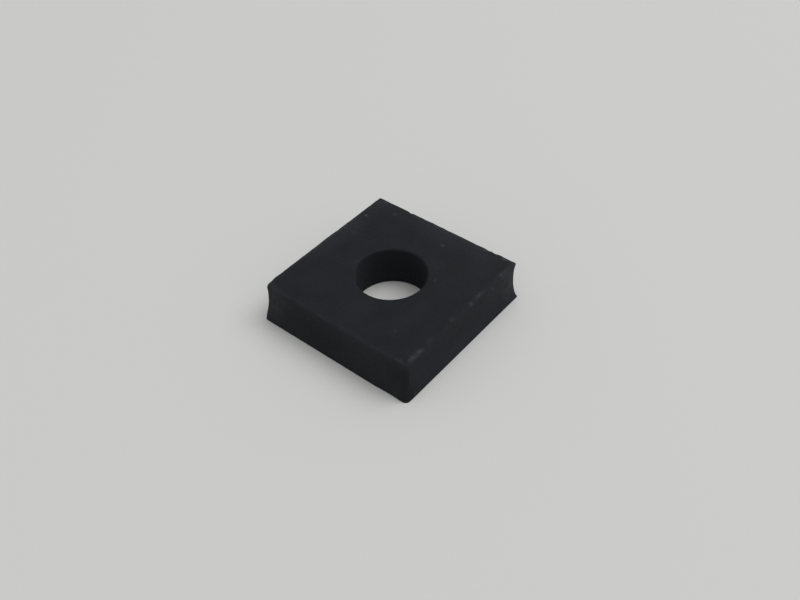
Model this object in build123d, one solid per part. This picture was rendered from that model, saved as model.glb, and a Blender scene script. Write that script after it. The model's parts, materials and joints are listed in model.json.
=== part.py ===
"""A square spacer pad cut from thick black sheet rubber, with a round bolt hole through its middle.

The pad lies on its foot, the wider of its two flat faces. Rubber gives under a cutting blade and springs
back, so each of the four sides is hollow in section: widest at the foot, narrowest above mid-height, and
flared out a little again at the top edge. The sides meet in sharp mitred corners that follow the hollow.

Millimetres. The origin is the centre of the foot, and +Z points up through the hole.
"""

import os

from build123d import *

# The sheet, and the outline that was cut from it
sheet_thickness = 6.35
foot_width = 25.4
top_width = 24.2
# How far a side's middle lies inside the straight line from its foot to its top edge
side_hollow = 0.28

# The edges, as the blade and handling leave them
corner_radius = 0.25
foot_arris_radius = 0.1
top_arris_radius = 0.14

# The bolt hole, with its rims eased
hole_diameter = 10.4
rim_radius = 0.24

# How far a cutting or cut body runs past the faces that bound it
cut_overrun = 1.0


def cut_section() -> Sketch:
    """Section across the pad: flat foot, flat top and two hollow sides."""
    right_side = SagittaArc((foot_width / 2, 0), (top_width / 2, sheet_thickness), side_hollow)
    left_side = mirror(right_side, Plane.YZ)
    foot = Line(left_side @ 0, right_side @ 0)
    top = Line(left_side @ 1, right_side @ 1)
    return make_face([foot, right_side, top, left_side])


def hollow_sided_block() -> Part:
    """What two crossing pairs of cuts leave: hollow sides that meet in curved mitred corners."""
    reach = max(foot_width, top_width) / 2 + cut_overrun
    cut_front_and_back = extrude(Plane.YZ * cut_section(), reach, both=True)
    cut_left_and_right = extrude(Plane.XZ * cut_section(), reach, both=True)
    return cut_front_and_back & cut_left_and_right


def climbs(edge: Edge) -> bool:
    """True for an edge that climbs from the foot to the top."""
    return edge.bounding_box().size.Z > sheet_thickness / 2


def ease_edges(block: Part) -> Part:
    """Rounds the corners first, then the outlines of the foot and of the top."""
    block = fillet(block.edges().filter_by(climbs), corner_radius)
    block = fillet(block.edges().group_by(Axis.Z)[0], foot_arris_radius)
    return fillet(block.edges().group_by(Axis.Z)[-1], top_arris_radius)


def bore_hole(block: Part) -> Part:
    """Bores the bolt hole straight through and eases both of its rims."""
    punch_length = sheet_thickness + 2 * cut_overrun
    punch = Pos(0, 0, sheet_thickness / 2) * Cylinder(hole_diameter / 2, punch_length)
    pad = block - punch
    rims = pad.edges().filter_by(GeomType.CIRCLE).filter_by(lambda edge: edge.is_closed)
    return fillet(rims, rim_radius)


def main() -> None:
    """Writes the spacer as one solid."""
    os.makedirs("parts", exist_ok=True)
    spacer = bore_hole(ease_edges(hollow_sided_block()))
    export_step(spacer, "parts/rubber_spacer.step")


main()
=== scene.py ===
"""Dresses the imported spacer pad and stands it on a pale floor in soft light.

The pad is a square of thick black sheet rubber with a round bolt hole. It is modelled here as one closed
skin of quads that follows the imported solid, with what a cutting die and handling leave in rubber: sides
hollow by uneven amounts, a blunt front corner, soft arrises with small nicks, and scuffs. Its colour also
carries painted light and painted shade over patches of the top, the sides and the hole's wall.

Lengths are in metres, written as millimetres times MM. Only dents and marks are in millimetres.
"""

import json
import logging
import math
from collections.abc import Callable
from dataclasses import dataclass, field
from enum import Enum

import bmesh
import bpy
from mathutils import Matrix, Vector

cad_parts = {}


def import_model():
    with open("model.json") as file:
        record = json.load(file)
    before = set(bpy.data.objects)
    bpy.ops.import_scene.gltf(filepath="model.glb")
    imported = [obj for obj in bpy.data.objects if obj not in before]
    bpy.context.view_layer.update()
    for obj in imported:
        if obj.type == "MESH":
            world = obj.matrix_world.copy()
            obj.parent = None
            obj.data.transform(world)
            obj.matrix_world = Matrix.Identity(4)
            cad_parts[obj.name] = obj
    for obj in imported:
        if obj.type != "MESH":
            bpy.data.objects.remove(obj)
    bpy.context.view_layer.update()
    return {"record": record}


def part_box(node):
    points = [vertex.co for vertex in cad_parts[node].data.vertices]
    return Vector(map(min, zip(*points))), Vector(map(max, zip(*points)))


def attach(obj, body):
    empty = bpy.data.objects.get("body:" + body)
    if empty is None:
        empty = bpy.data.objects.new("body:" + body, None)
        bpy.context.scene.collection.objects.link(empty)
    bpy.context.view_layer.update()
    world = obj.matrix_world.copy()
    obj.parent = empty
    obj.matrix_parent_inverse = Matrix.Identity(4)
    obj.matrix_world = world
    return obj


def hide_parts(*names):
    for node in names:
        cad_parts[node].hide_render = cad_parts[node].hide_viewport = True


frame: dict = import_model()

MM: float = 0.001
NODE: str = "rubber_spacer"
# Sockets of a colour Mix node, whose names are shared with its other kinds
MIX_A, MIX_B, MIX_RESULT = 6, 7, 2
# The value that a noise pattern swings about
NOISE_MIDDLE: float = 0.5

log: logging.Logger = logging.getLogger("spacer_scene")


class Side(Enum):
    """The pad's four sides, by the way that they face."""

    FRONT = "-Y"
    RIGHT = "+X"
    BACK = "+Y"
    LEFT = "-X"


class Zone(Enum):
    """Parts of the pad's skin that cutting and handling treat alike."""

    SIDES = "sides"
    ARRIS = "arris"
    SHEET = "sheet"
    CUT = "cut"


class Trace(Enum):
    """What a mark on the rubber looks like beside the rubber round it."""

    # Lighter than the rubber: scuffs, specks and dust, and patches of painted light
    RUBBED = "rubbed"
    # Darker than the rubber: nicks, and patches of painted shade
    DARK = "dark"


def linear(hex_colour: str) -> tuple[float, float, float, float]:
    """Turns an sRGB hex colour to linear light.

    Args:
        hex_colour: The colour, such as "#26282b".

    Returns:
        Red, green, blue and an alpha of 1.
    """
    shares = [int(hex_colour[i : i + 2], 16) / 255 for i in (1, 3, 5)]
    red, green, blue = (s / 12.92 if s <= 0.04045 else ((s + 0.055) / 1.055) ** 2.4 for s in shares)
    return red, green, blue, 1.0


def add_node(
    tree: bpy.types.NodeTree, kind: str, inputs: dict | None = None, **settings: object
) -> bpy.types.Node:
    """Adds a shader node with its settings and links.

    Args:
        tree: The node tree that it joins.
        kind: The node's type.
        inputs: What each input takes, by name or number: another node's output, or a plain value.
        settings: The node's own settings.

    Returns:
        The new node.
    """
    node = tree.nodes.new(kind)
    for name, value in settings.items():
        setattr(node, name, value)
    for key, value in (inputs or {}).items():
        if isinstance(value, bpy.types.NodeSocket):
            tree.links.new(value, node.inputs[key])
        else:
            node.inputs[key].default_value = value
    return node


def new_material(name: str) -> tuple[bpy.types.Material, bpy.types.NodeTree]:
    """Makes an empty node material.

    Args:
        name: The material's name.

    Returns:
        The material and its node tree, with no nodes.
    """
    material = bpy.data.materials.new(name)
    material.use_nodes = True
    material.node_tree.nodes.clear()
    return material, material.node_tree


def select_only(piece: bpy.types.Object, part: str, chosen: Callable) -> None:
    """Selects, in edit mode, the parts of a mesh that pass a test, and nothing else.

    Args:
        piece: The object in edit mode.
        part: "verts" or "edges".
        chosen: The test on one vertex or edge.
    """
    bpy.ops.mesh.select_all(action="DESELECT")
    bpy.ops.mesh.select_mode(type="VERT" if part == "verts" else "EDGE")
    shape = bmesh.from_edit_mesh(piece.data)
    for element in getattr(shape, part):
        if chosen(element):
            element.select_set(True)
    shape.select_flush_mode()
    bmesh.update_edit_mesh(piece.data, loop_triangles=False, destructive=False)


def smooth_step(share: float) -> float:
    """Eases a share, held between 0 and 1, in and out."""
    share = min(1.0, max(0.0, share))
    return share * share * (3 - 2 * share)


@dataclass(frozen=True)
class Mark:
    """A scuff, speck or dark spot on the rubber, or a patch of painted light or painted shade, as a soft
    ellipsoid that the surface passes through.

    place and reach are in millimetres, and strength is how far the mark goes at its middle, from 0 to 1.
    """

    place: tuple[float, float, float]
    reach: tuple[float, float, float]
    strength: float
    trace: Trace = Trace.RUBBED


@dataclass(frozen=True)
class SheetRubber:
    """Calendered sheet rubber filled with carbon black, and its die-cut sides.

    Carbon black takes in nearly all light, so the eye gets a deep neutral black under a broad, dull sheen.
    The rolled faces carry a faint cloudy bloom. The cut sides show fine upright drag lines. Where handling
    wears the arrises the surface breaks up and turns grey. The same grey, laid softly over broad patches, is
    painted light on parts of the top, the sides and the hole's wall. Black laid the same way is painted
    shade on parts of the top and the front side.

    bloom_edges and noise_edges are the noise values between which a pattern goes from none to full, and
    fray_least is the share of a scuff that is left where it is most broken up.
    """

    name: str = "calendered_black_rubber"
    black: str = "#14171b"
    bloom: str = "#191c21"
    cut: str = "#24272b"
    # The grey of worn arrises and scuffs, also laid as painted light
    rubbed: str = "#5a5c5f"
    ior: float = 1.52
    specular_level: float = 0.12
    roughness: float = 0.62
    roughness_spread: float = 0.08
    cut_roughness: float = 0.25
    bloom_size: float = 4.0 * MM
    bloom_edges: tuple[float, float] = (0.35, 0.65)
    noise_edges: tuple[float, float] = (0.3, 0.7)
    grain_size: float = 0.35 * MM
    grain_height: float = 0.012 * MM
    drag_spacing: float = 0.45 * MM
    drag_length: float = 12.0 * MM
    drag_height: float = 0.025 * MM
    fray_size: float = 0.4 * MM
    fray_shift: float = 0.5 * MM
    fray_least: float = 0.35
    arris_wear: float = 0.012

    def build(self, marks: tuple[Mark, ...]) -> bpy.types.Material:
        """Builds the rubber's material.

        Args:
            marks: The scuffs, specks and dark nicks that it carries, with its patches of painted light and
                painted shade.

        Returns:
            The material.
        """
        material, tree = new_material(self.name)
        place = add_node(tree, "ShaderNodeTexCoord").outputs["Object"]
        cut = add_node(tree, "ShaderNodeAttribute", attribute_name=Zone.CUT.value).outputs["Fac"]
        arris = add_node(tree, "ShaderNodeAttribute", attribute_name=Zone.ARRIS.value).outputs["Fac"]

        cloud = add_node(
            tree, "ShaderNodeTexNoise", {"Vector": place, "Scale": 1 / self.bloom_size, "Detail": 3}
        )
        clouded = add_node(
            tree,
            "ShaderNodeMapRange",
            {"Value": cloud.outputs["Fac"], 1: self.bloom_edges[0], 2: self.bloom_edges[1]},
        )
        rolled = add_node(
            tree,
            "ShaderNodeMix",
            {0: clouded.outputs[0], MIX_A: linear(self.black), MIX_B: linear(self.bloom)},
            data_type="RGBA",
        )
        rubber = add_node(
            tree,
            "ShaderNodeMix",
            {0: cut, MIX_A: rolled.outputs[MIX_RESULT], MIX_B: linear(self.cut)},
            data_type="RGBA",
        )

        low, high = self.noise_edges
        fray = add_node(
            tree, "ShaderNodeTexNoise", {"Vector": place, "Scale": 1 / self.fray_size, "Detail": 2}
        )
        frayed = add_node(
            tree, "ShaderNodeMapRange", {"Value": fray.outputs["Fac"], 1: low, 2: high, 3: self.fray_least}
        )
        sway = add_node(
            tree,
            "ShaderNodeVectorMath",
            {0: fray.outputs["Color"], 1: (NOISE_MIDDLE,) * 3},
            operation="SUBTRACT",
        )
        swayed = add_node(
            tree,
            "ShaderNodeVectorMath",
            {0: sway.outputs[0], 1: (self.fray_shift,) * 3, 2: place},
            operation="MULTIPLY_ADD",
        )
        # The lighter marks are scuffs, specks, dust and patches of painted light. The darker marks are nicks
        # and patches of painted shade.
        rubs_and_painted_light = self.add_marks(tree, swayed.outputs[0], [m for m in marks if m.trace is Trace.RUBBED])
        darks = self.add_marks(tree, swayed.outputs[0], [m for m in marks if m.trace is Trace.DARK])
        # Arris wear, plus the lighter marks with their painted light
        worn = add_node(
            tree, "ShaderNodeMath", {0: arris, 1: self.arris_wear, 2: rubs_and_painted_light}, operation="MULTIPLY_ADD"
        )
        ragged = add_node(
            tree,
            "ShaderNodeMath",
            {0: worn.outputs[0], 1: frayed.outputs[0]},
            operation="MULTIPLY",
            use_clamp=True,
        )
        # Greys the rubber under arris wear, scuffs and dust, and lightens it where light is painted
        scuffed_and_painted_light = add_node(
            tree,
            "ShaderNodeMix",
            {0: ragged.outputs[0], MIX_A: rubber.outputs[MIX_RESULT], MIX_B: linear(self.rubbed)},
            data_type="RGBA",
        )
        # Darkens the rubber under nicks, and where shade is painted
        spotted_and_painted_shade = add_node(
            tree,
            "ShaderNodeMix",
            {0: darks, MIX_A: scuffed_and_painted_light.outputs[MIX_RESULT], MIX_B: (0.0, 0.0, 0.0, 1.0)},
            data_type="RGBA",
            clamp_factor=True,
        )

        grain = add_node(
            tree, "ShaderNodeTexNoise", {"Vector": place, "Scale": 1 / self.grain_size, "Detail": 2}
        )
        stretch = (1 / self.drag_spacing, 1 / self.drag_spacing, 1 / self.drag_length)
        upright = add_node(tree, "ShaderNodeMapping", {"Vector": place, "Scale": stretch})
        drag = add_node(
            tree, "ShaderNodeTexNoise", {"Vector": upright.outputs[0], "Scale": 1.0, "Detail": 2}
        )
        dragged = add_node(
            tree, "ShaderNodeMath", {0: drag.outputs["Fac"], 1: cut}, operation="MULTIPLY"
        )
        grained = add_node(
            tree,
            "ShaderNodeBump",
            {"Height": grain.outputs["Fac"], "Distance": self.grain_height, "Strength": 1.0},
        )
        relief = add_node(
            tree,
            "ShaderNodeBump",
            {
                "Height": dragged.outputs[0],
                "Distance": self.drag_height,
                "Strength": 1.0,
                "Normal": grained.outputs["Normal"],
            },
        )
        dull = add_node(
            tree,
            "ShaderNodeMapRange",
            {
                "Value": grain.outputs["Fac"],
                1: low,
                2: high,
                3: self.roughness - self.roughness_spread,
                4: self.roughness + self.roughness_spread,
            },
        )
        duller = add_node(
            tree,
            "ShaderNodeMath",
            {0: cut, 1: self.cut_roughness, 2: dull.outputs[0]},
            operation="MULTIPLY_ADD",
            use_clamp=True,
        )
        surface = add_node(
            tree,
            "ShaderNodeBsdfPrincipled",
            {
                "Base Color": spotted_and_painted_shade.outputs[MIX_RESULT],
                "Roughness": duller.outputs[0],
                "Normal": relief.outputs["Normal"],
                "IOR": self.ior,
                "Specular IOR Level": self.specular_level,
            },
        )
        add_node(tree, "ShaderNodeOutputMaterial", {"Surface": surface.outputs["BSDF"]})
        return material

    def add_marks(
        self, tree: bpy.types.NodeTree, place: bpy.types.NodeSocket, marks: list[Mark]
    ) -> bpy.types.NodeSocket:
        """Adds up the masks of some marks.

        Args:
            tree: The material's node tree.
            place: The place on the piece.
            marks: The marks, of which there is at least one.

        Returns:
            The sum of the masks, each fading from its strength to 0.
        """
        total = None
        for mark in marks:
            seat = add_node(
                tree,
                "ShaderNodeMapping",
                {"Vector": place, "Location": Vector(mark.place) * MM, "Scale": Vector(mark.reach) * MM},
                vector_type="TEXTURE",
            )
            fade = add_node(
                tree, "ShaderNodeTexGradient", {"Vector": seat.outputs[0]}, gradient_type="SPHERICAL"
            )
            inputs = {0: fade.outputs["Fac"], 1: mark.strength, 2: total if total else 0.0}
            total = add_node(tree, "ShaderNodeMath", inputs, operation="MULTIPLY_ADD").outputs[0]
        return total


@dataclass(frozen=True)
class PalePaper:
    """Uncoated pale grey paper, which gives an even, dead matt ground with no gloss."""

    name: str = "uncoated_grey_paper"
    grey: str = "#cfcfce"
    roughness: float = 0.95
    specular_level: float = 0.1

    def build(self) -> bpy.types.Material:
        """Builds the paper's material.

        Returns:
            The material.
        """
        material, tree = new_material(self.name)
        surface = add_node(
            tree,
            "ShaderNodeBsdfPrincipled",
            {
                "Base Color": linear(self.grey),
                "Roughness": self.roughness,
                "Specular IOR Level": self.specular_level,
            },
        )
        add_node(tree, "ShaderNodeOutputMaterial", {"Surface": surface.outputs["BSDF"]})
        return material


@dataclass(frozen=True)
class CutSide:
    """How one side of the pad came off the die, and how handling wore it.

    hollow is how far its deepest line lies inside the straight line from foot to top edge, waist_share is
    the height of that line as a share of the thickness, lean is how far the top edge stands outwards, and
    arris is the radius that its top edge is worn to.
    """

    hollow: float
    waist_share: float
    lean: float
    arris: float

    def arris_inset(self, depth: float) -> float:
        """How far the worn top edge draws the side in, at a depth under the top face."""
        rise = min(self.arris, max(0.0, self.arris - depth))
        return self.arris - math.sqrt(self.arris**2 - rise**2)


@dataclass(frozen=True)
class Dent:
    """A place that a knock pushed in or that sprang out, with all its lengths in millimetres.

    place is its middle, push is how far and which way it went, and spread is how wide it reaches.
    """

    place: tuple[float, float, float]
    push: tuple[float, float, float]
    spread: float


@dataclass(frozen=True)
class Unevenness:
    """How far a zone of the skin swells and sinks, and the size of its swells."""

    zone: Zone
    size: float
    height: float


@dataclass(frozen=True)
class Ring:
    """A level outline of the pad or of its hole: where its four sides lie, and its height."""

    left: float
    right: float
    front: float
    back: float
    height: float

    @property
    def centre(self) -> Vector:
        """The middle of the outline."""
        return Vector(((self.left + self.right) / 2, (self.front + self.back) / 2, self.height))

    @property
    def width(self) -> Vector:
        """The outline's size along X and Y."""
        return Vector((self.right - self.left, self.back - self.front))


@dataclass
class SpacerPad:
    """The rubber pad: its sizes, its skin and its dressing.

    hole_closing is how much narrower the hole's radius is at the top, and hole_offset is where the hole's
    axis stands off the pad's. cut_start and cut_fade say how far from an edge a side's swells begin and how
    far they take to reach their full height, and side_share is how deep under a side they fade out, as a
    share of half the top. cut_turn_share is how far the skin has turned from level where it counts as cut.
    arris_reach is how far wear reaches from the top edge, and sheet_margin is how far the top face's swells
    stay back from it. snap is how close two places have to be to count as one.
    """

    half_foot: float
    thickness: float
    hole_radius: float
    finish: SheetRubber
    marks: tuple[Mark, ...]

    half_top: float = 12.1 * MM
    foot_arris: float = 0.1 * MM
    hole_closing: float = 0.15 * MM
    rim_radius: float = 0.3 * MM
    cut_start: float = 0.1 * MM
    cut_fade: float = 0.4 * MM
    cut_turn_share: float = 0.8
    side_share: float = 0.25
    arris_reach: float = 0.84 * MM
    sheet_margin: float = 1.68 * MM
    snap: float = 0.01 * MM
    hole_offset: tuple[float, float] = (-0.195 * MM, 0.165 * MM)
    sides: dict[Side, CutSide] = field(
        default_factory=lambda: {
            Side.FRONT: CutSide(hollow=0.24 * MM, waist_share=0.6, lean=0.12 * MM, arris=0.5 * MM),
            Side.RIGHT: CutSide(hollow=0.33 * MM, waist_share=0.42, lean=0.06 * MM, arris=0.13 * MM),
            Side.BACK: CutSide(hollow=0.33 * MM, waist_share=0.42, lean=0.19 * MM, arris=0.12 * MM),
            Side.LEFT: CutSide(hollow=0.24 * MM, waist_share=0.6, lean=0.2 * MM, arris=0.12 * MM),
        }
    )
    corner_radii: dict[tuple[Side, Side], float] = field(
        default_factory=lambda: {
            (Side.LEFT, Side.FRONT): 0.25 * MM,
            (Side.RIGHT, Side.FRONT): 0.65 * MM,
            (Side.RIGHT, Side.BACK): 0.2 * MM,
            (Side.LEFT, Side.BACK): 0.25 * MM,
        }
    )
    dents: tuple[Dent, ...] = (
        # The front corner, worn blunt at mid-height, eased at its foot and left sharper at its top
        Dent(place=(12.0, -12.0, 3.9), push=(-0.04, 0.36, 0.0), spread=3.0),
        Dent(place=(10.2, -12.6, 0.0), push=(0.0, 0.1, 0.0), spread=4.0),
        Dent(place=(12.4, -12.4, 0.0), push=(-0.04, 0.04, 0.0), spread=1.2),
        Dent(place=(11.9, -11.9, 6.2), push=(0.05, -0.06, 0.0), spread=2.2),
        # The front edge, swollen near the front corner and worn over at the left one
        Dent(place=(6.0, -12.2, 6.2), push=(0.0, -0.1, -0.04), spread=4.0),
        Dent(place=(-9.8, -12.2, 6.35), push=(0.0, 0.0, -0.16), spread=3.0),
        # The left corner, worn at its top and mid-height, and the right one's top, drawn out to a point
        Dent(place=(-12.2, -12.0, 6.35), push=(0.11, 0.12, -0.06), spread=2.4),
        Dent(place=(-12.2, -12.2, 3.4), push=(0.06, 0.06, 0.0), spread=3.0),
        Dent(place=(12.1, 12.3, 6.35), push=(0.05, 0.06, 0.0), spread=1.2),
        # Swells of the back and left edges
        Dent(place=(9.7, 12.25, 6.3), push=(0.0, 0.09, 0.0), spread=1.0),
        Dent(place=(-12.2, 0.4, 6.3), push=(-0.08, 0.0, 0.0), spread=2.2),
        # A lip that the punch left at the hole's rim
        Dent(place=(-4.0, -3.1, 6.1), push=(0.16, 0.13, -0.12), spread=2.4),
        # Nicks in the back edge
        Dent(place=(8.7, 12.2, 6.35), push=(0.0, -0.04, -0.06), spread=0.6),
        Dent(place=(7.6, 12.2, 6.35), push=(0.0, -0.05, -0.06), spread=0.5),
        Dent(place=(-6.3, 12.2, 6.35), push=(0.0, -0.06, -0.08), spread=0.6),
    )
    unevenness: tuple[Unevenness, ...] = (
        Unevenness(Zone.SIDES, size=5.0 * MM, height=0.09 * MM),
        Unevenness(Zone.ARRIS, size=1.3 * MM, height=0.1 * MM),
        Unevenness(Zone.SHEET, size=6.0 * MM, height=0.05 * MM),
    )

    corner_segments: int = 6
    edge_cuts: int = 12
    edge_passes: int = 2
    arris_rows: int = 7
    rim_rows: int = 5
    side_rows: int = 26
    wall_rows: int = 18
    top_cuts: int = 28
    foot_cuts: int = 10

    @property
    def loop_count(self) -> int:
        """How many vertices go round each ring."""
        return len(Side) * (self.corner_segments + (self.edge_cuts + 1) ** self.edge_passes)

    @property
    def widest_arris(self) -> float:
        """The largest radius that a top edge is worn to."""
        return max(cut.arris for cut in self.sides.values())

    def side_reach(self, side: Side, height: float) -> float:
        """How far from the middle a side lies at a height.

        Args:
            side: The side.
            height: The height above the floor.

        Returns:
            The distance from the pad's axis.
        """
        cut = self.sides[side]
        share = max(0.0, (height - self.foot_arris) / (self.thickness - self.foot_arris))
        straight = self.half_foot + (self.half_top + cut.lean - self.half_foot) * share
        # A parabola that is 1 halfway, on a height bent so that halfway falls at the waist
        bent = share ** (math.log(0.5) / math.log(cut.waist_share))
        face = straight - cut.hollow * 4 * bent * (1 - bent)
        return face - cut.arris_inset(self.thickness - height)

    def outline(self, height: float, inset: float = 0.0) -> Ring:
        """Gives the pad's outline at a height.

        Args:
            height: The height above the floor.
            inset: How far the outline is drawn in.

        Returns:
            The outline.
        """
        reach = {side: self.side_reach(side, height) - inset for side in Side}
        return Ring(-reach[Side.LEFT], reach[Side.RIGHT], -reach[Side.FRONT], reach[Side.BACK], height)

    def hole_ring(self, height: float, flare: float = 0.0) -> Ring:
        """Gives the hole's ring at a height, where the rubber closes in more the higher it is.

        Args:
            height: The height above the floor.
            flare: How much wider the rim's rounding makes it.

        Returns:
            The ring.
        """
        x, y = self.hole_offset
        radius = self.hole_radius - self.hole_closing * height / self.thickness + flare
        return Ring(x - radius, x + radius, y - radius, y + radius, height)

    def outer_rings(self) -> list[Ring]:
        """Gives the outlines from the top face, over its arris and down the side, to the foot.

        Returns:
            The outlines, from the top down.
        """
        turns = [math.pi / 2 * i / self.arris_rows for i in range(self.arris_rows + 1)]
        low, high = self.foot_arris, self.thickness - self.widest_arris
        rings = [self.outline(high + self.widest_arris * math.cos(turn)) for turn in turns]
        for row in range(1, self.side_rows + 1):
            rings.append(self.outline(high + (low - high) * row / self.side_rows))
        for turn in turns[1:]:
            rings.append(self.outline(low - low * math.sin(turn), low * (1 - math.cos(turn))))
        return rings

    def inner_rings(self) -> list[Ring]:
        """Gives the hole's rings from its top rim down its wall to its bottom rim.

        Returns:
            The rings, from the top down.
        """
        turns = [math.pi / 2 * i / self.rim_rows for i in range(self.rim_rows + 1)]
        rim = self.rim_radius
        low, high = rim, self.thickness - rim
        rings = []
        for turn in turns:
            rings.append(self.hole_ring(high + rim * math.cos(turn), rim * (1 - math.sin(turn))))
        for row in range(1, self.wall_rows):
            rings.append(self.hole_ring(high + (low - high) * row / self.wall_rows))
        for turn in turns:
            rings.append(self.hole_ring(low - rim * math.sin(turn), rim * (1 - math.cos(turn))))
        return rings

    def extrude_through(self, rings: list[Ring]) -> None:
        """Extrudes the selected loop from the first ring through each of the others.

        Args:
            rings: The rings, from the one that the loop lies on.
        """
        for last, ring in zip(rings, rings[1:]):
            bpy.ops.mesh.extrude_region_move(TRANSFORM_OT_translate={"value": ring.centre - last.centre})
            grow = (ring.width.x / last.width.x, ring.width.y / last.width.y, 1.0)
            bpy.ops.transform.resize(value=grow, center_override=ring.centre)

    def add_outer_skin(self, piece: bpy.types.Object, rings: list[Ring]) -> None:
        """Shapes the plane into the top outline and draws the sides down from it.

        Args:
            piece: The plane, in edit mode.
            rings: The outlines, from the top face to the foot.
        """
        top = rings[0]
        bpy.ops.mesh.select_all(action="SELECT")
        bpy.ops.transform.resize(value=(top.width.x, top.width.y, 1.0), center_override=(0, 0, 0))
        bpy.ops.transform.translate(value=top.centre)
        ends = {Side.LEFT: top.left, Side.RIGHT: top.right, Side.FRONT: top.front, Side.BACK: top.back}
        for (side, end), radius in self.corner_radii.items():
            corner = Vector((ends[side], ends[end], top.height))
            select_only(piece, "verts", lambda vertex: (vertex.co - corner).length < self.snap)
            bpy.ops.mesh.bevel(offset=radius, segments=self.corner_segments, affect="VERTICES")
        bpy.ops.mesh.select_all(action="SELECT")
        bpy.ops.mesh.delete(type="ONLY_FACE")
        select_only(piece, "edges", lambda edge: edge.calc_length() > self.half_top)
        for _ in range(self.edge_passes):
            bpy.ops.mesh.subdivide(number_cuts=self.edge_cuts)
        bpy.ops.mesh.select_all(action="SELECT")
        self.extrude_through(rings)

    def add_hole_skin(self, rings: list[Ring]) -> None:
        """Adds the hole's top rim as a circle and draws the wall down from it.

        Args:
            rings: The hole's rings, from the top rim to the bottom one.
        """
        bpy.ops.mesh.select_all(action="DESELECT")
        bpy.ops.mesh.primitive_circle_add(
            vertices=self.loop_count, radius=rings[0].width.x / 2, location=rings[0].centre
        )
        self.extrude_through(rings)

    def close_face(self, piece: bpy.types.Object, height: float, cuts: int) -> None:
        """Bridges the outline and the hole's rim at one face.

        Args:
            piece: The piece, in edit mode.
            height: The face's height.
            cuts: How many rows the bridge is cut into.
        """
        select_only(
            piece,
            "edges",
            lambda edge: edge.is_boundary and all(abs(v.co.z - height) < self.snap for v in edge.verts),
        )
        bpy.ops.mesh.bridge_edge_loops(number_cuts=cuts, interpolation="LINEAR")

    def push_dents(self, piece: bpy.types.Object) -> None:
        """Pushes each dent, less and less towards the edge of its spread.

        Args:
            piece: The piece, in edit mode.
        """
        for dent in self.dents:
            middle = Vector(dent.place) * MM
            vertices = bmesh.from_edit_mesh(piece.data).verts
            nearest = min(vertices, key=lambda vertex: (vertex.co - middle).length)
            select_only(piece, "verts", lambda vertex: vertex == nearest)
            bpy.ops.transform.translate(
                value=Vector(dent.push) * MM,
                use_proportional_edit=True,
                proportional_edit_falloff="SMOOTH",
                proportional_size=dent.spread * MM,
            )

    def build(self) -> bpy.types.Object:
        """Models the pad's skin and dresses it.

        Returns:
            The finished piece.
        """
        bpy.ops.object.select_all(action="DESELECT")
        bpy.ops.mesh.primitive_plane_add(size=1.0)
        piece = bpy.context.object
        piece.name = piece.data.name = "spacer_pad"
        bpy.ops.object.mode_set(mode="EDIT")
        self.add_outer_skin(piece, self.outer_rings())
        self.add_hole_skin(self.inner_rings())
        self.close_face(piece, self.thickness, self.top_cuts)
        self.close_face(piece, 0.0, self.foot_cuts)
        self.push_dents(piece)
        bpy.ops.mesh.select_all(action="SELECT")
        bpy.ops.mesh.normals_make_consistent(inside=False)
        bpy.ops.object.mode_set(mode="OBJECT")
        bpy.ops.object.shade_smooth()
        self.roughen(piece)
        self.map_zones(piece)
        piece.data.materials.clear()
        piece.data.materials.append(self.finish.build(self.marks))
        return piece

    def roughen(self, piece: bpy.types.Object) -> None:
        """Swells and sinks the skin zone by zone, as soft rubber springs back from a die.

        Args:
            piece: The piece, with its skin whole.
        """
        for uneven in self.unevenness:
            group = piece.vertex_groups.new(name=uneven.zone.value)
            for vertex in piece.data.vertices:
                group.add([vertex.index], self.zone_share(uneven.zone, vertex), "REPLACE")
            swells = bpy.data.textures.new(uneven.zone.value, "CLOUDS")
            swells.noise_scale = uneven.size
            modifier = piece.modifiers.new(uneven.zone.value, "DISPLACE")
            modifier.texture = swells
            modifier.texture_coords = "LOCAL"
            modifier.strength = uneven.height
            modifier.vertex_group = group.name
            bpy.ops.object.modifier_apply(modifier=modifier.name)
        piece.vertex_groups.clear()

    def zone_share(self, zone: Zone, vertex: bpy.types.MeshVertex) -> float:
        """Tells how far a vertex of the skin belongs to a zone.

        Args:
            zone: The zone.
            vertex: The vertex.

        Returns:
            1 well inside the zone, 0 outside it, and a smooth fade between.
        """
        place = vertex.co
        depth = self.thickness - place.z
        inside = self.half_top - max(abs(place.x), abs(place.y))
        if zone is Zone.CUT:
            return smooth_step((1 - abs(vertex.normal.z)) / self.cut_turn_share)
        if zone is Zone.SIDES:
            edge = smooth_step((min(depth, place.z) - self.cut_start) / self.cut_fade)
            return edge * smooth_step(1 - inside / (self.half_top * self.side_share))
        if zone is Zone.ARRIS:
            return smooth_step(1 - math.hypot(inside, depth) / self.arris_reach)
        return smooth_step(1 - depth / self.rim_radius) * smooth_step(inside / self.sheet_margin)

    def map_zones(self, piece: bpy.types.Object) -> None:
        """Writes which parts of the skin are cut, and which are arris, as attributes for the finish.

        Args:
            piece: The piece, with its skin final.
        """
        for zone in (Zone.CUT, Zone.ARRIS):
            layer = piece.data.attributes.new(zone.value, "FLOAT", "POINT")
            shares = [self.zone_share(zone, vertex) for vertex in piece.data.vertices]
            layer.data.foreach_set("value", shares)


@dataclass
class PaperFloor:
    """The plain pale floor that the pad lies on."""

    finish: PalePaper
    span: float = 0.7
    gap: float = 0.005 * MM

    def build(self) -> bpy.types.Object:
        """Adds the floor just under the pad's foot.

        Returns:
            The floor.
        """
        bpy.ops.object.select_all(action="DESELECT")
        bpy.ops.mesh.primitive_plane_add(size=self.span)
        floor = bpy.context.object
        floor.name = floor.data.name = "paper_floor"
        floor.data.transform(Matrix.Translation((0.0, 0.0, -self.gap)))
        floor.data.materials.append(self.finish.build())
        return floor


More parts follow.
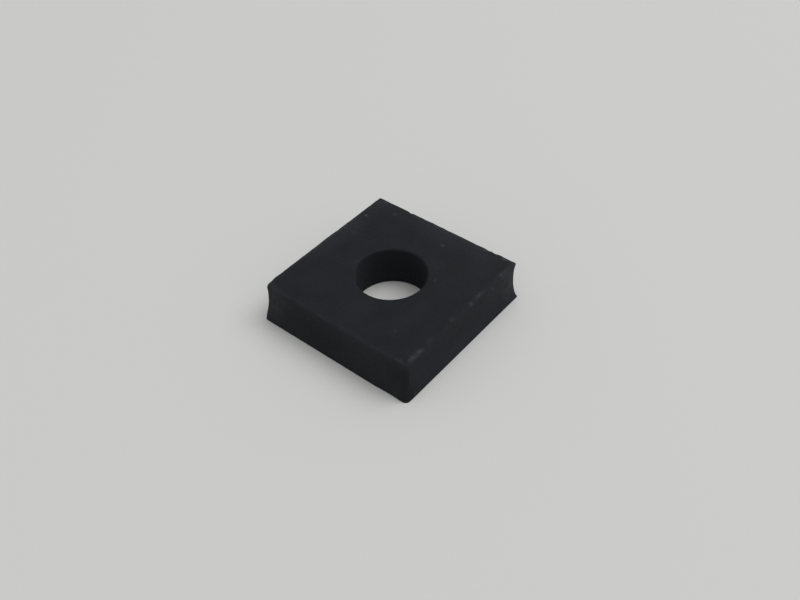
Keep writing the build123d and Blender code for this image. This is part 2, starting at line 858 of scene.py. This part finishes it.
@dataclass(frozen=True)
class SoftBox:
    """A square soft box that faces the pad: where it stands, its width and its power."""

    name: str
    place: tuple[float, float, float]
    width: float
    power: float

    def add(self) -> bpy.types.Object:
        """Adds the soft box.

        Returns:
            The lamp.
        """
        data = bpy.data.lights.new(self.name, "AREA")
        data.shape = "SQUARE"
        data.size = self.width
        data.energy = self.power
        lamp = bpy.data.objects.new(self.name, data)
        lamp.location = self.place
        lamp.rotation_euler = Vector(self.place).to_track_quat("Z", "Y").to_euler()
        bpy.context.scene.collection.objects.link(lamp)
        return lamp


@dataclass(frozen=True)
class Studio:
    """The soft light: an even room and its soft boxes."""

    room_grey: str = "#ffffff"
    room_strength: float = 0.425
    backdrop: str = "#c9c9c8"
    boxes: tuple[SoftBox, ...] = (
        SoftBox("key_box", place=(0.5835, 0.5835, 1.4289), width=1.05, power=11.3),
        SoftBox("overhead_box", place=(0.0, 0.0, 1.65), width=1.05, power=6.32),
    )

    def build(self) -> None:
        """Lights the scene, shows a pale backdrop past the floor and keeps colours as written."""
        world = bpy.data.worlds.new("soft_room")
        world.use_nodes = True
        tree = world.node_tree
        tree.nodes.clear()
        path = add_node(tree, "ShaderNodeLightPath").outputs
        seen = add_node(
            tree,
            "ShaderNodeMath",
            {0: path["Is Camera Ray"], 1: path["Is Glossy Ray"]},
            operation="MAXIMUM",
        )
        shown = add_node(
            tree,
            "ShaderNodeMath",
            {0: seen.outputs[0], 1: path["Is Transmission Ray"]},
            operation="MAXIMUM",
        )
        room = add_node(
            tree,
            "ShaderNodeBackground",
            {"Color": linear(self.room_grey), "Strength": self.room_strength},
        )
        backdrop = add_node(
            tree, "ShaderNodeBackground", {"Color": linear(self.backdrop), "Strength": 1.0}
        )
        surround = add_node(
            tree,
            "ShaderNodeMixShader",
            {0: shown.outputs[0], 1: room.outputs[0], 2: backdrop.outputs[0]},
        )
        add_node(tree, "ShaderNodeOutputWorld", {"Surface": surround.outputs[0]})
        bpy.context.scene.world = world
        bpy.context.scene.view_settings.view_transform = "Standard"
        for box in self.boxes:
            box.add()


@dataclass(frozen=True)
class PhotoCamera:
    """The camera, at the photograph's viewing angle.

    Angles are in degrees, focal_px and frame_px are the focal length and the frame's width in pixels, sensor
    is in millimetres, and clip_share is the share of the distance where the view begins.
    """

    azimuth: float = 40.406
    elevation: float = 43.952
    roll: float = 1.921
    target: tuple[float, float, float] = (1.961 * MM, -0.666 * MM, 3.175 * MM)
    distance: float = 122.958 * MM
    focal_px: float = 892.76
    frame_px: float = 800.0
    sensor: float = 36.0
    clip_share: float = 0.01

    def build(self) -> bpy.types.Object:
        """Adds the camera and makes it the scene's own.

        Returns:
            The camera.
        """
        turn, lift, roll = (math.radians(a) for a in (self.azimuth, self.elevation, self.roll))
        level_back = Vector((math.sin(turn), -math.cos(turn), 0.0))
        back = level_back * math.cos(lift) + Vector((0.0, 0.0, math.sin(lift)))
        level = Vector((math.cos(turn), math.sin(turn), 0.0))
        right = level * math.cos(roll) - back.cross(level) * math.sin(roll)
        data = bpy.data.cameras.new("photo_camera")
        data.sensor_width = self.sensor
        data.lens = self.focal_px / self.frame_px * self.sensor
        data.clip_start = self.distance * self.clip_share
        camera = bpy.data.objects.new("photo_camera", data)
        camera.matrix_world = Matrix((right, back.cross(right), back)).transposed().to_4x4()
        camera.location = Vector(self.target) + back * self.distance
        bpy.context.scene.collection.objects.link(camera)
        bpy.context.scene.camera = camera
        return camera


@dataclass(frozen=True)
class HandlingAndPaintedLight:
    """The marks that handling left on the pad, and patches of painted light and painted shade."""

    specks: tuple[Mark, ...] = (
        Mark(place=(-11.16, 7.69, 6.35), reach=(0.34, 0.34, 0.3), strength=0.8),
        Mark(place=(1.92, 9.16, 6.35), reach=(0.4, 0.4, 0.3), strength=0.4),
        Mark(place=(-7.91, 10.46, 6.35), reach=(0.5, 0.5, 0.3), strength=0.12),
        Mark(place=(-9.99, 3.67, 6.35), reach=(0.5, 0.5, 0.3), strength=0.12),
        Mark(place=(5.46, 2.69, 6.35), reach=(0.35, 0.35, 0.3), strength=0.25),
        Mark(place=(7.15, -7.92, 6.35), reach=(0.4, 0.4, 0.3), strength=0.2),
        Mark(place=(12.5, -10.7, 0.38), reach=(0.3, 0.3, 0.3), strength=0.5),
    )
    # Along the right arris, close to the front corner: a scuff streak. Beside the corner, a painted
    # highlight on the front arris.
    front_streak_and_painted_highlight: tuple[Mark, ...] = (
        Mark(place=(11.9, -9.7, 6.33), reach=(0.55, 2.0, 0.6), strength=0.26),
        Mark(place=(11.9, -10.6, 6.33), reach=(0.5, 0.7, 0.5), strength=0.16),
        Mark(place=(11.87, -8.8, 6.33), reach=(0.5, 0.7, 0.5), strength=0.18),
        Mark(place=(11.7, -6.6, 6.35), reach=(0.5, 1.2, 0.4), strength=0.1),
        # Painted highlight on the front arris, beside the front corner
        Mark(place=(10.9, -11.6, 6.3), reach=(0.9, 0.4, 0.35), strength=0.16),
    )
    # Scuffs on the right side and its top edge, with painted light over broad patches of the side
    right_side_scuffs_and_painted_light: tuple[Mark, ...] = (
        Mark(place=(11.7, -1.9, 6.35), reach=(0.5, 0.7, 0.4), strength=0.18),
        Mark(place=(12.05, 2.0, 6.2), reach=(0.6, 0.7, 0.6), strength=0.34),
        Mark(place=(11.85, 3.9, 6.35), reach=(0.6, 1.5, 0.4), strength=0.2),
        Mark(place=(12.0, 6.9, 5.5), reach=(0.5, 0.6, 0.5), strength=0.26),
        Mark(place=(12.1, 9.4, 6.0), reach=(0.9, 1.3, 0.9), strength=0.24),
        # Painted light over the back half of the right side
        Mark(place=(12.1, 8.5, 4.5), reach=(1.0, 5.0, 3.5), strength=0.1),
        Mark(place=(12.2, 11.6, 3.5), reach=(1.0, 2.8, 4.4), strength=0.34),
        # Painted light: a broad lighter band along the right side's foot, where its flare faces the light
        Mark(place=(12.4, 1.0, 1.0), reach=(1.0, 9.0, 2.2), strength=0.06),
        Mark(place=(12.5, 9.2, 0.2), reach=(0.3, 0.4, 0.3), strength=0.3),
    )
    # Scuffs on the front side and its top edge, with painted light over its left end
    front_side_scuffs_and_painted_light: tuple[Mark, ...] = (
        # Painted light over the left end of the front side
        Mark(place=(-11.8, -12.2, 3.5), reach=(3.6, 1.5, 5.0), strength=0.24),
        Mark(place=(-8.9, -12.1, 5.0), reach=(2.4, 1.0, 1.2), strength=0.12),
        # A faint lighter line along the whole front top edge
        Mark(place=(0.0, -12.0, 6.2), reach=(26.0, 0.8, 0.7), strength=0.06),
        Mark(place=(-6.0, -12.0, 6.3), reach=(0.7, 0.5, 0.5), strength=0.12),
        Mark(place=(-2.2, -11.9, 6.3), reach=(1.0, 0.5, 0.4), strength=0.08),
        Mark(place=(-10.5, -12.3, 3.1), reach=(0.6, 0.5, 0.6), strength=0.15),
    )
    # Painted light on the hole's left wall, which faces the light
    painted_hole_wall_light: tuple[Mark, ...] = (
        Mark(place=(-5.1, -0.8, 4.4), reach=(1.4, 3.0, 3.4), strength=0.07),
    )
    # The two sides away from the eye, taken to be worn like the near ones
    far_side_scuffs: tuple[Mark, ...] = (
        Mark(place=(-12.2, -4.2, 5.7), reach=(0.6, 1.3, 0.6), strength=0.3),
        Mark(place=(-12.1, 6.4, 3.2), reach=(0.9, 3.2, 2.6), strength=0.12),
        Mark(place=(-12.3, -10.9, 3.4), reach=(1.0, 2.2, 4.4), strength=0.2),
        Mark(place=(-12.5, 1.6, 0.3), reach=(0.4, 0.6, 0.4), strength=0.4),
        Mark(place=(4.6, 12.2, 5.6), reach=(1.3, 0.6, 0.6), strength=0.3),
        Mark(place=(-7.8, 12.1, 3.2), reach=(3.4, 0.9, 2.6), strength=0.12),
        Mark(place=(11.0, 12.3, 3.4), reach=(2.2, 1.0, 4.4), strength=0.2),
        Mark(place=(-3.0, 12.5, 0.3), reach=(0.6, 0.4, 0.4), strength=0.4),
    )
    # Along the far edges of the top: dust specks, plus broad lighter bands and thin lighter lines that are
    # painted sheen where the far edges meet the eye at a slant. Also a faint patch of painted light over the
    # top's back right.
    far_dust_and_painted_light: tuple[Mark, ...] = (
        Mark(place=(-11.8, 3.0, 6.35), reach=(2.8, 10.0, 1.0), strength=0.12),
        Mark(place=(1.0, 11.9, 6.35), reach=(14.0, 3.0, 1.0), strength=0.12),
        # Painted light over the back right of the top
        Mark(place=(9.0, 6.5, 6.35), reach=(8.0, 9.0, 1.0), strength=0.035),
        Mark(place=(-11.6, 11.6, 6.35), reach=(3.4, 3.4, 1.0), strength=0.1),
        Mark(place=(-12.1, 0.0, 6.35), reach=(0.5, 13.0, 0.5), strength=0.14),
        Mark(place=(0.0, 12.2, 6.35), reach=(13.0, 0.5, 0.5), strength=0.14),
        # Dust specks
        Mark(place=(10.43, 11.95, 6.35), reach=(0.6, 0.35, 0.3), strength=0.42),
        Mark(place=(7.24, 11.95, 6.35), reach=(0.4, 0.35, 0.3), strength=0.5),
        Mark(place=(-10.77, 11.8, 6.35), reach=(0.5, 0.4, 0.3), strength=0.4),
    )
    nicks: tuple[Mark, ...] = (
        Mark(place=(8.74, 11.9, 6.35), reach=(0.45, 0.4, 0.4), strength=0.8, trace=Trace.DARK),
        Mark(place=(-6.27, 11.9, 6.35), reach=(0.45, 0.4, 0.4), strength=0.5, trace=Trace.DARK),
        Mark(place=(-11.7, 8.3, 6.35), reach=(0.3, 0.4, 0.3), strength=0.5, trace=Trace.DARK),
        Mark(place=(5.61, 2.05, 6.35), reach=(0.35, 0.35, 0.3), strength=0.3, trace=Trace.DARK),
        Mark(place=(4.95, 1.9, 6.25), reach=(0.45, 1.5, 0.45), strength=0.28, trace=Trace.DARK),
        Mark(place=(12.15, 10.3, 3.8), reach=(0.5, 0.7, 0.7), strength=0.45, trace=Trace.DARK),
    )
    # Painted shade over the front left of the top
    painted_top_shade: tuple[Mark, ...] = (
        Mark(place=(-5.5, -8.5, 6.35), reach=(6.0, 5.0, 1.0), strength=0.09, trace=Trace.DARK),
    )
    # Painted shade over the middle of the front side and round the front corner, darkest at the corner's
    # foot
    painted_front_shade: tuple[Mark, ...] = (
        Mark(place=(-2.5, -12.1, 3.0), reach=(7.0, 1.5, 6.0), strength=0.25, trace=Trace.DARK),
        Mark(place=(11.0, -12.0, 4.5), reach=(2.6, 1.2, 3.4), strength=0.2, trace=Trace.DARK),
        Mark(place=(12.0, -11.7, 3.8), reach=(0.7, 1.0, 2.8), strength=0.2, trace=Trace.DARK),
        Mark(place=(12.4, -11.9, 0.8), reach=(1.4, 2.2, 2.8), strength=0.42, trace=Trace.DARK),
    )

    def marks(self) -> tuple[Mark, ...]:
        """Puts all the marks together.

        Returns:
            The marks.
        """
        # Scuffs, specks and dust go with the patches of painted light, and nicks with the patches of painted
        # shade
        near_scuffs_and_painted_light = self.front_streak_and_painted_highlight + self.right_side_scuffs_and_painted_light + self.front_side_scuffs_and_painted_light
        dust_and_painted_light = self.specks + self.far_dust_and_painted_light + self.painted_hole_wall_light
        spots_and_painted_shade = self.nicks + self.painted_top_shade + self.painted_front_shade
        return near_scuffs_and_painted_light + self.far_side_scuffs + dust_and_painted_light + spots_and_painted_shade


def bolt_hole() -> dict:
    """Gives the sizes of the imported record's bolt hole."""
    return next(mount for mount in frame["record"]["mounts"] if mount["name"] == "bolt_hole")["dims"]


def make_pad() -> SpacerPad:
    """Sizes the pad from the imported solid.

    Returns:
        The pad, not built yet.
    """
    low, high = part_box(NODE)
    hole = bolt_hole()
    return SpacerPad(
        half_foot=(high.x - low.x) / 2,
        thickness=high.z - low.z,
        hole_radius=hole["r_mm"] * MM,
        finish=SheetRubber(),
        marks=HandlingAndPaintedLight().marks(),
    )


def main() -> None:
    """Builds the camera, the light, the floor and the pad in order, and logs the pad's face count."""
    logging.basicConfig(level=logging.INFO, format="%(name)s: %(message)s")
    PhotoCamera().build()
    Studio().build()
    PaperFloor(PalePaper()).build()
    piece = make_pad().build()
    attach(piece, "root")
    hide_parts(NODE)
    log.info("%s: %d faces", piece.name, len(piece.data.polygons))


if __name__ == "__main__":
    main()
